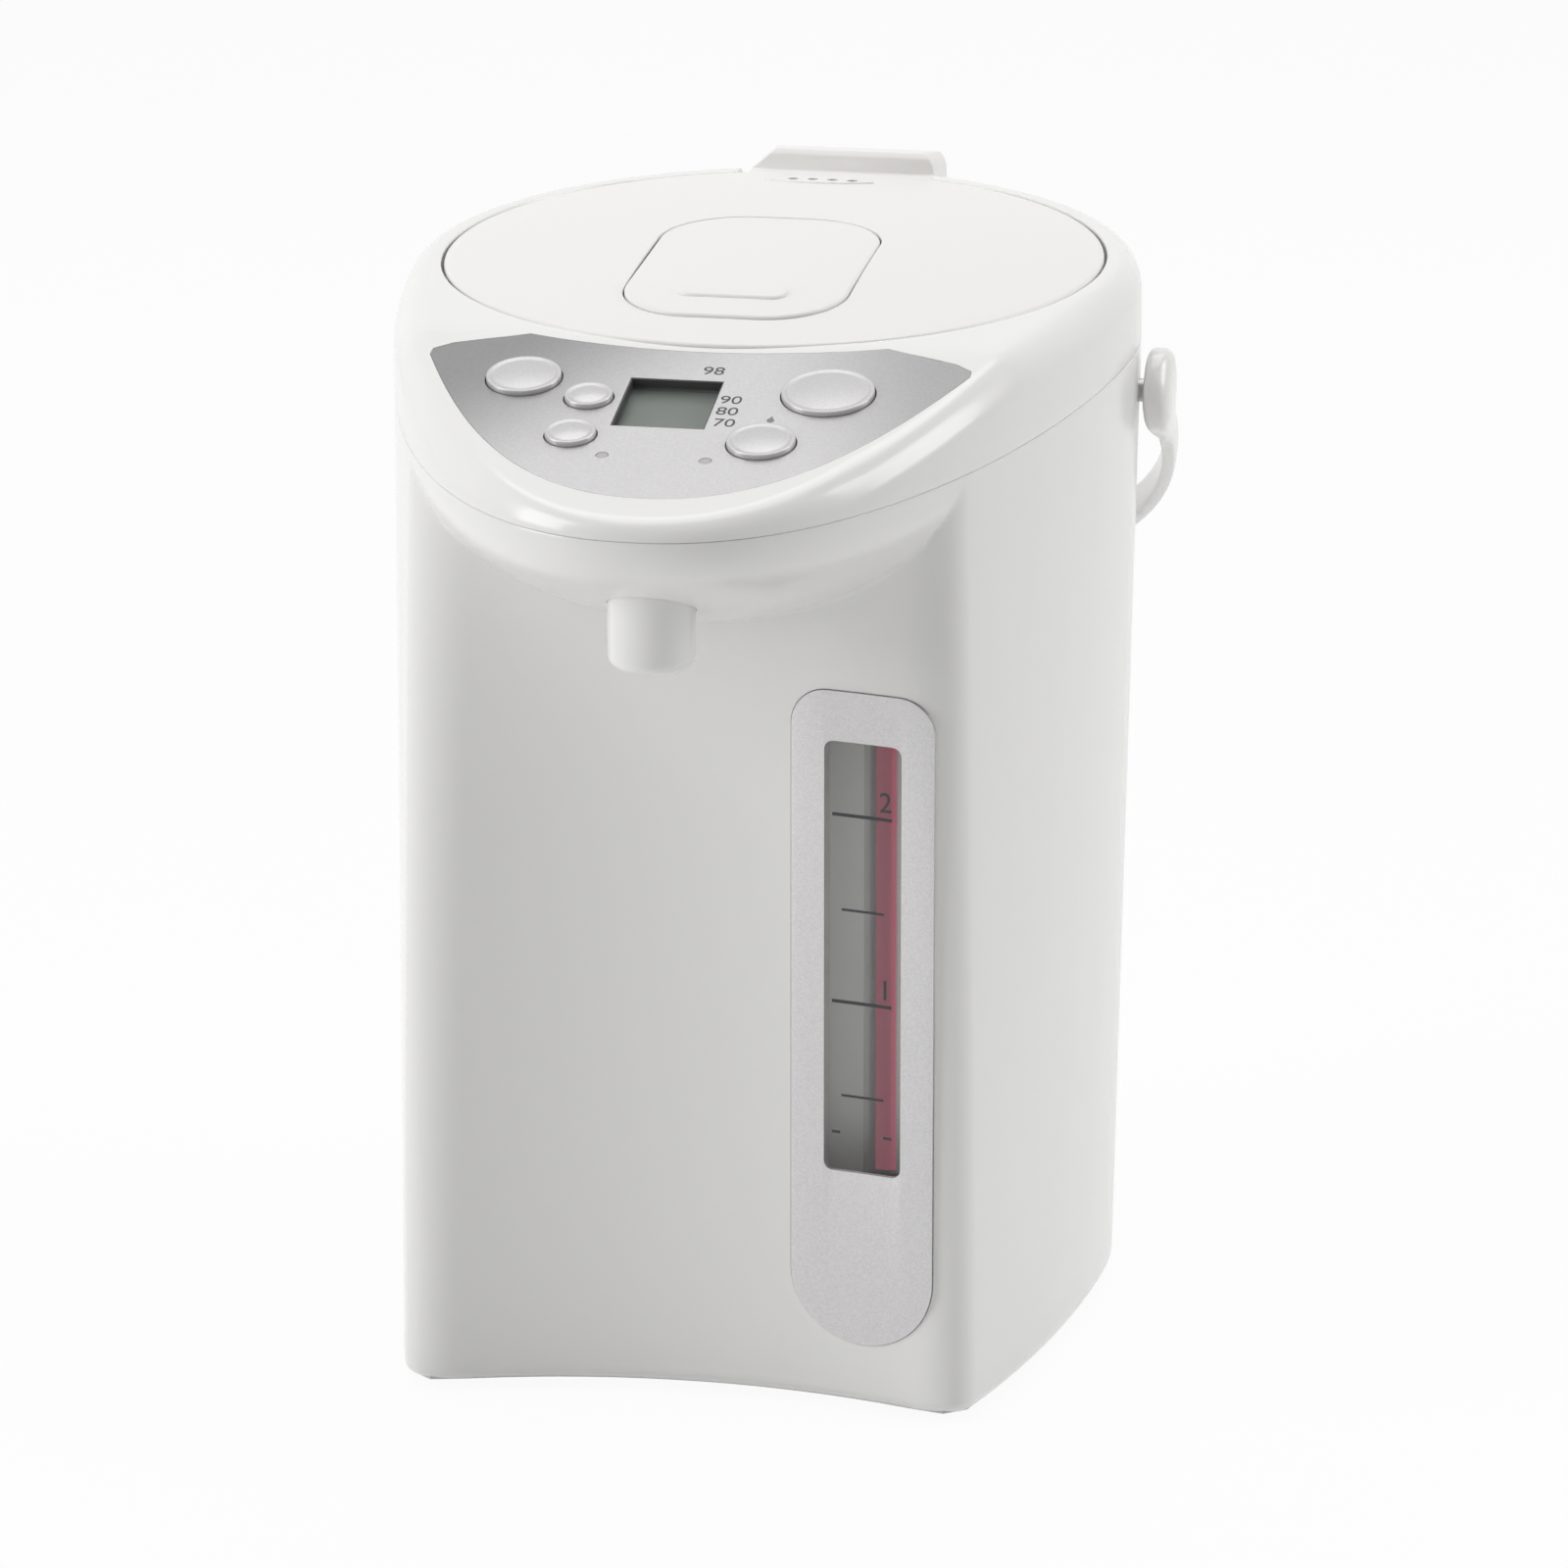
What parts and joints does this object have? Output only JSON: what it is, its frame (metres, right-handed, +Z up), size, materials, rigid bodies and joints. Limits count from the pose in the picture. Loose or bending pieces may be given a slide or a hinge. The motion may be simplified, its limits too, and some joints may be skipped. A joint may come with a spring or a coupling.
{
  "type": "electric thermo pot",
  "caption": "Electric thermo pot with a hinged lid, beak with control panel and nozzle, water gauge, swinging bail and an inner container, heater and pump",
  "frame": {"origin": "on the surface that the pot stands on, under the middle of its outline box", "axes": "+Z up, -Y to the spout and control panel, +X to the side of the water gauge, +Y to the lid hinge"},
  "size_m": [0.2012, 0.2834, 0.2775],
  "materials": {
    "casing_white": "warm white moulded plastic with a soft gloss",
    "lid_white": "warm white moulded plastic, satin",
    "base_grey": "light grey matte plastic",
    "rubber": "dark grey rubber",
    "steel": "plain steel",
    "panel_silver": "satin silver paint on plastic film",
    "gauge_silver": "satin silver paint",
    "button_pearl": "pearl silver gloss plastic",
    "clear": "clear plastic",
    "lcd": "grey-green liquid crystal screen",
    "lens_grey": "translucent grey",
    "board_green": "green circuit board",
    "scale_grey": "grey plastic",
    "red": "red strip",
    "tube_glass": "clear glass",
    "hose": "translucent silicone rubber",
    "tank_steel": "dark satin non-stick steel",
    "gasket": "grey silicone rubber",
    "sheet_steel": "galvanised sheet steel",
    "dark_plastic": "dark grey plastic"
  },
  "bodies": {
    "casing": {"outer_body": "casing_white", "upper_collar": "casing_white", "base_cover": "base_grey", "rubber_feet": "rubber", "base_screws": "steel", "control_panel": "panel_silver", "lcd_window": "clear", "lcd_module": "lcd", "indicator_lenses": "lens_grey", "control_board": "board_green", "spout_nozzle": "casing_white", "gauge_trim": "gauge_silver", "gauge_window": "clear", "scale_plate": "scale_grey", "red_scale_strip": "red", "sight_tube": "tube_glass", "tube_lower_socket": "hose", "water_container": "tank_steel", "container_gasket": "gasket", "heater_plate": "steel", "heat_shield": "sheet_steel", "pump_housing": "base_grey", "pump_motor": "steel", "pump_inlet_elbow": "hose", "pump_outlet_elbow": "hose", "spout_hose": "hose", "thermistor": "dark_plastic", "thermal_fuse": "base_grey", "power_board": "board_green", "inlet_socket": "dark_plastic", "hinge_pin": "steel", "handle_pivot_pins": "steel"},
    "lid": {"lid_cover": "lid_white", "lid_lower_pan": "sheet_steel", "lid_gasket": "gasket", "steam_valve": "base_grey", "lid_hinge_block": "lid_white", "lever_pin": "steel"},
    "release_lever": {"release_lever": "lid_white"},
    "latch": {"lid_latch": "base_grey"},
    "handle": {"bail_handle": "casing_white"},
    "impeller": {"pump_impeller": "base_grey"},
    "rotor": {"motor_rotor": "dark_plastic"},
    "energy_button": {"energy_button": "button_pearl"},
    "reboil_button": {"reboil_button": "button_pearl"},
    "temp_button": {"temp_button": "button_pearl"},
    "dispense_button": {"dispense_button": "button_pearl"},
    "unlock_button": {"unlock_button": "button_pearl"}
  },
  "joints": [
    {"name": "lid_hinge", "type": "hinge", "parent": "casing", "child": "lid", "pos_m": [0, 0.13275, 0.261], "axis": [-1, 0, 0], "range_deg": [0, 85]},
    {"name": "lever_pivot", "type": "hinge", "parent": "lid", "child": "release_lever", "pos_m": [0, 0.04251, 0.27283], "axis": [-1, 0, 0], "range_deg": [0, 18], "stiffness_Nm_per_rad": 0.06, "springref_deg": -8.59},
    {"name": "latch_slide", "type": "slide", "parent": "lid", "child": "latch", "axis": [0, 0.9982, 0.0598], "range_m": [0, 0.0042]},
    {"name": "handle_swing", "type": "hinge", "parent": "casing", "child": "handle", "pos_m": [0, 0.04375, 0.2345], "axis": [1, 0, 0], "range_deg": [0, 128]},
    {"name": "motor_spin", "type": "hinge", "parent": "casing", "child": "rotor", "pos_m": [0.022, -0.05325, 0.024], "axis": [0, 0, 1], "continuous": true},
    {"name": "impeller_spin", "type": "hinge", "parent": "casing", "child": "impeller", "pos_m": [0.022, -0.05325, 0.031], "axis": [0, 0, 1], "continuous": true},
    {"name": "energy_press", "type": "slide", "parent": "casing", "child": "energy_button", "axis": [0, 0.2588, -0.9659], "range_m": [0, 0.001], "stiffness_N_per_m": 600, "springref_m": -0.0012},
    {"name": "reboil_press", "type": "slide", "parent": "casing", "child": "reboil_button", "axis": [0, 0.2588, -0.9659], "range_m": [0, 0.001], "stiffness_N_per_m": 600, "springref_m": -0.0012},
    {"name": "temp_press", "type": "slide", "parent": "casing", "child": "temp_button", "axis": [0, 0.2588, -0.9659], "range_m": [0, 0.001], "stiffness_N_per_m": 600, "springref_m": -0.0012},
    {"name": "dispense_press", "type": "slide", "parent": "casing", "child": "dispense_button", "axis": [0, 0.2588, -0.9659], "range_m": [0, 0.001], "stiffness_N_per_m": 600, "springref_m": -0.0012},
    {"name": "unlock_press", "type": "slide", "parent": "casing", "child": "unlock_button", "axis": [0, 0.2588, -0.9659], "range_m": [0, 0.001], "stiffness_N_per_m": 600, "springref_m": -0.0012}
  ],
  "couplings": [
    {"joint": "latch_slide", "follows": "lever_pivot", "m_per_rad": 0.012732},
    {"joint": "impeller_spin", "follows": "motor_spin", "ratio": 1}
  ]
}
